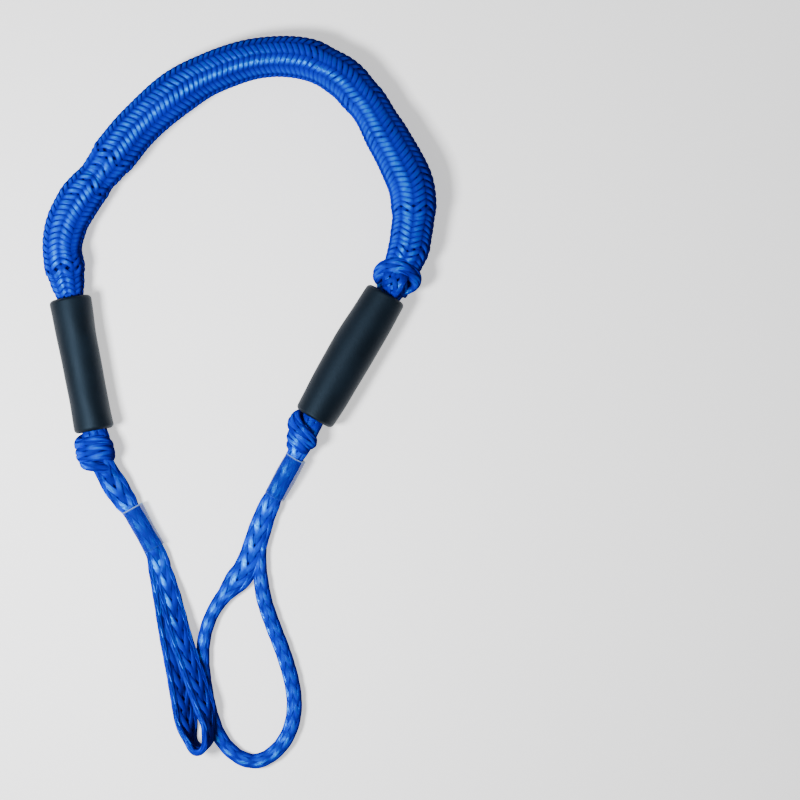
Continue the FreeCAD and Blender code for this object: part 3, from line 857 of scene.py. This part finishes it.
RIGHT_LOWER_WRAP = [
    (3.0, -8.0, 12.0), (-6.0, -8.5, 9.5), (-13.0, -5.5, 15.0), (-12.0, -1.0, 23.5),
    (-3.5, 2.4, 27.8), (5.5, 4.8, 25.8), (10.3, 6.8, 18.5), (7.0, 8.0, 9.6),
    (-2.4, 7.4, 7.2), (-8.8, 8.2, 13.0), (-7.6, 9.6, 20.8), (-1.4, 11.2, 24.6),
    (5.0, 12.6, 22.4), (8.0, 13.8, 15.8), (3.0, 15.0, 9.6), (-4.2, 16.0, 10.4),
    (-5.2, 16.6, 14.0), (-1.0, 17.6, 15.2), (1.8, 18.2, 12.4),
]


def knot_points(knot, points):
    """Points given in a knot's own frame, turned into the part's frame, in millimetres."""
    (x, y), (ahead_x, ahead_y), _ = KNOTS[knot]
    return [(x - across * ahead_y + ahead * ahead_x, y + across * ahead_x + ahead * ahead_y, z)
            for across, ahead, z in points]


AXIS_SHARE = 0.85     # how far a wrap's flat side turns to face away from its knot's axis


def make_wrap(name, knot, points, half_width, half_height, strand_width, wave=0.4, pitch=95.0):
    """One stretch of rope wound round a knot's axis, its flat side on what it lies on."""
    (x, y), (ahead_x, ahead_y), body = KNOTS[knot]
    line, at = evened(smooth_line(name, knot_points(knot, points)), 1.0 * MM)
    axis = unit_rows(np.array([[ahead_x, ahead_y, 0.0]]))[0]
    middle = np.array([x * MM, y * MM, LEVEL * MM])
    away = line - middle
    outward = away - np.outer(away @ axis, axis) * AXIS_SHARE
    tangent = unit_rows(np.gradient(line, axis=0))
    up = unit_rows(outward - tangent * np.sum(outward * tangent, axis=1)[:, None])
    left = np.cross(up, tangent)
    widths = profile(at, half_width) * MM
    heights = profile(at, half_height) * MM
    turns = np.cumsum(np.gradient(at) / (pitch * MM))
    wrap = braided(name, line, left, up, widths, heights, turns, strand_width,
                   strand_scale=(widths / widths.max()) ** 0.7, wave=wave)
    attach(wrap, body)
    return wrap


def make_knots():
    front = make_wrap("upper_knot_front", "right_upper", UPPER_FRONT,
                      [(0, 9.0), (6, 10.0), (14, 9.6), (24, 8.4), (34, 7.0)],
                      [(0, 4.0), (34, 4.4)], 4.6, wave=-0.5, pitch=80.0)
    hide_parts("right_upper_knot")
    make_wrap("upper_knot_wrap", "right_upper", UPPER_WRAP,
              [(0, 5.0), (20, 6.0), (45, 6.6), (75, 6.8), (100, 5.5)],
              [(0, 4.0), (20, 4.4), (120, 4.2)], 4.0, pitch=190.0)
    make_wrap("upper_knot_body", "right_upper", UPPER_BODY,
              [(0, 11.0), (12, 12.0), (22, 11.0), (34, 8.0)],
              [(0, 7.0), (12, 8.5), (34, 7.0)], 4.6, pitch=140.0)
    make_wrap("upper_knot_rim", "right_upper", UPPER_RIM,
              [(0, 1.6), (10, 2.0), (40, 2.0), (60, 1.4)], [(0, 1.6), (60, 1.6)], 1.5, wave=0.2)
    make_wrap("upper_knot_fill", "right_upper", UPPER_FILL,
              [(0, 4.6), (10, 5.4), (24, 5.0)], [(0, 4.0), (24, 4.0)], 3.6)
    wrap = make_wrap("left_lower_knot_wrap", "left_lower", LEFT_LOWER_WRAP,
                     [(0, 5.0), (20, 5.6), (62, 5.8), (85, 7.0), (120, 7.0), (150, 5.8),
                      (185, 4.6)],
                     [(0, 4.0), (30, 4.6), (130, 4.4), (185, 4.0)], 3.9, pitch=230.0)
    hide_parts("left_lower_knot")
    wrap = make_wrap("right_lower_knot_wrap", "right_lower", RIGHT_LOWER_WRAP,
                     [(0, 5.5), (15, 8.0), (40, 6.6), (60, 5.6), (110, 5.4), (160, 4.2)],
                     [(0, 4.0), (20, 4.8), (110, 4.4), (160, 3.8)], 4.2, pitch=230.0)
    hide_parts("right_lower_knot")


# ---------------------------------------------------------------------------------------------
# Foam floats and clear tubes
# ---------------------------------------------------------------------------------------------

def skin(name, rings, goes_round=False, **fields):
    """A mesh over rings of points, the last ring joined to the first if it goes round."""
    count, sides = len(rings), len(rings[0])
    mesh = bpy.data.meshes.new(name)
    faces = [(i * sides + j, i * sides + (j + 1) % sides,
              (i + 1) % count * sides + (j + 1) % sides, (i + 1) % count * sides + j)
             for i in range(count if goes_round else count - 1) for j in range(sides)]
    mesh.from_pydata([tuple(p) for ring in rings for p in ring], [], faces)
    for key, values in fields.items():
        mesh.attributes.new(key, "FLOAT", "POINT").data.foreach_set("value", values)
    mesh.polygons.foreach_set("use_smooth", [True] * len(mesh.polygons))
    mesh.update()
    piece = bpy.data.objects.new(name, mesh)
    bpy.context.collection.objects.link(piece)
    return piece


FLOAT_BORE, FLOAT_RIM = 8.0, 3.6     # radius of the bore, and of the rounded rim
FLOAT_HOLLOW = 0.16                  # depth of the slight hollows
FLOAT_HALF_HEIGHT = 17.2             # the most that the foam stands above or below its axis
FLOAT_SIDES, RIM_STEPS, BODY_STEPS, BORE_STEPS = 72, 8, 36, 6


def float_outline(length):
    """(distance from the head, fixed radius or None, how far it sinks below the body's radius)."""
    head = [(1.2, FLOAT_BORE, 0.0), (0.25, FLOAT_BORE + 1.0, 0.0)]
    for step in range(RIM_STEPS + 1):
        angle = math.pi / 2 * step / RIM_STEPS
        head.append((FLOAT_RIM - FLOAT_RIM * math.cos(angle), None,
                     FLOAT_RIM * math.sin(angle) - FLOAT_RIM))
    middle = [(FLOAT_RIM + (length - 2 * FLOAT_RIM) * i / BODY_STEPS, None, 0.0)
              for i in range(1, BODY_STEPS)]
    foot = [(length - z, radius, sink) for z, radius, sink in reversed(head)]
    inside = [(length * (1 - i / BORE_STEPS), FLOAT_BORE, 0.0) for i in range(1, BORE_STEPS)]
    return head + middle + foot + inside


def make_float(side, head, turn, length, radii, bow, seed):
    """A foam barrel with a through bore: rounded rims, a soft bow and slight hollows.

    radii are those of its head, its middle and its foot.
    """
    rng = np.random.default_rng(seed)
    heading = math.radians(turn)
    ahead = np.array([math.sin(heading), -math.cos(heading), 0.0])
    across = np.array([-ahead[1], ahead[0], 0.0])
    hollows = rng.uniform(0, 2 * math.pi, (3, 2))
    rings = []
    for z, radius, sink in float_outline(length):
        share = z / length
        belly = 4 * share * (1 - share)
        body = radii[0] * (1 - share) + radii[2] * share
        body += (radii[1] - (radii[0] + radii[2]) / 2) * belly
        ring = []
        for j in range(FLOAT_SIDES):
            angle = 2 * math.pi * j / FLOAT_SIDES
            wave = sum(math.sin(k * angle + p + share * 5.0 * k) * math.cos(share * 4 + q)
                       for k, (p, q) in zip((1, 2, 3), hollows))
            local = body + sink + FLOAT_HOLLOW * wave if radius is None else radius
            flat = across * (math.cos(angle) * local + bow * belly)
            point = np.array([head[0], head[1], LEVEL]) + ahead * z + flat
            point[2] += math.sin(angle) * min(local, FLOAT_HALF_HEIGHT)
            ring.append(point * MM)
        rings.append(ring)
    piece = skin(f"{side}_float_foam", rings, goes_round=True)
    piece.data.materials.append(FOAM)
    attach(piece, f"{side}_float")
    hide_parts(f"{side}_float")


TUBE_WIDE, TUBE_HIGH, TUBE_WALL = 9.2, 6.9, 0.4     # half width, half height and wall
TUBE_ASIDE = 1.1                                    # how far it hangs to one side of the rope
TUBE_STATIONS, TUBE_SIDES = 26, 56
RIM_LENGTH, RIM_PROUD = 1.1, 0.15                   # the edge at each cut end
HEAD_RIM, FOOT_RIM = 1.0, 0.15                      # how plainly each cut end shows


def make_tube(side, start, toward, inset, length, seed):
    """A thin clear sleeve, pressed oval, with cut ends that stand a little proud."""
    rng = np.random.default_rng(seed)
    start, toward = np.array(start), np.array(toward)
    ahead = (toward - start) / np.linalg.norm(toward - start)
    across = np.cross(np.array([0.0, 0.0, 1.0]), ahead)
    across /= np.linalg.norm(across)
    up = np.cross(ahead, across)
    phase = rng.uniform(0, 2 * math.pi, 3)
    rings, rims = [], []
    outward, back = range(TUBE_STATIONS), range(TUBE_STATIONS - 1, -1, -1)
    for wall, order in ((0.0, outward), (-TUBE_WALL, back)):
        for i in order:
            share = i / (TUBE_STATIONS - 1)
            near_end = max(0.0, 1 - min(share, 1 - share) * length / RIM_LENGTH)
            grow = near_end * RIM_PROUD + wall
            wide = TUBE_WIDE + 0.30 * math.sin(share * 5 + phase[1]) + grow
            high = TUBE_HIGH + 0.20 * math.sin(share * 7 + phase[2]) + grow
            middle = start + ahead * (inset + share * length) + across * TUBE_ASIDE
            ring = []
            for j in range(TUBE_SIDES):
                angle = 2 * math.pi * j / TUBE_SIDES
                crease = 0.18 * math.sin(3 * angle + phase[0] + share * 4)
                point = (middle + across * math.cos(angle) * (wide + crease * 0.4)
                         + up * math.sin(angle) * (high + crease))
                ring.append(point * MM)
            rings.append(ring)
            rims += [near_end * (HEAD_RIM if share < 0.5 else FOOT_RIM)] * TUBE_SIDES
    piece = skin(f"{side}_clear_sleeve", rings, goes_round=True, rim=rims)
    piece.data.materials.append(VINYL)
    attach(piece, f"{side}_clear_tube")
    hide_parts(f"{side}_clear_tube")


def make_floats_and_tubes():
    make_float("left", (-142.0, 87.4), 10.75, 113.4, (17.8, 16.2, 16.8), -0.4, 4)
    make_float("right", (124.3, 90.8), -30.4, 121.4, (17.6, 19.2, 17.4), -0.6, 9)
    make_tube("left", (-95.5, -82.7, 9.6), (-69.0, -131.2, 7.6), 8.0, 39.0, 2)
    make_tube("right", (50.0, -40.5, 14.5), (25.0, -85.2, 8.0), 6.5, 38.0, 7)


# ---------------------------------------------------------------------------------------------
# The whole line
# ---------------------------------------------------------------------------------------------

make_camera()
make_studio()
make_floor()

BLUE, INSIDE = braid_filament(), braid_shadow()
FOAM, VINYL = float_foam(), clear_vinyl()
RUBBER, TWINE = bungee_rubber(), whipping_twine()
STRAND_SECTION, INSIDE_SECTION = lens_section(), ring_section()
BRAID = braid_tree()

make_sheath()
make_lines()
make_knots()
make_floats_and_tubes()

# the solids that no visible piece replaces get the finish that their name calls for
FINISHES = (("float", FOAM), ("clear_tube", VINYL), ("whipping", TWINE), ("core_", RUBBER))
for name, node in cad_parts.items():
    finish = next((material for word, material in FINISHES if word in name), BLUE)
    node.data.materials.clear()
    node.data.materials.append(finish)

for helper in (STRAND_SECTION, INSIDE_SECTION):
    bpy.data.objects.remove(helper)

bpy.context.view_layer.update()
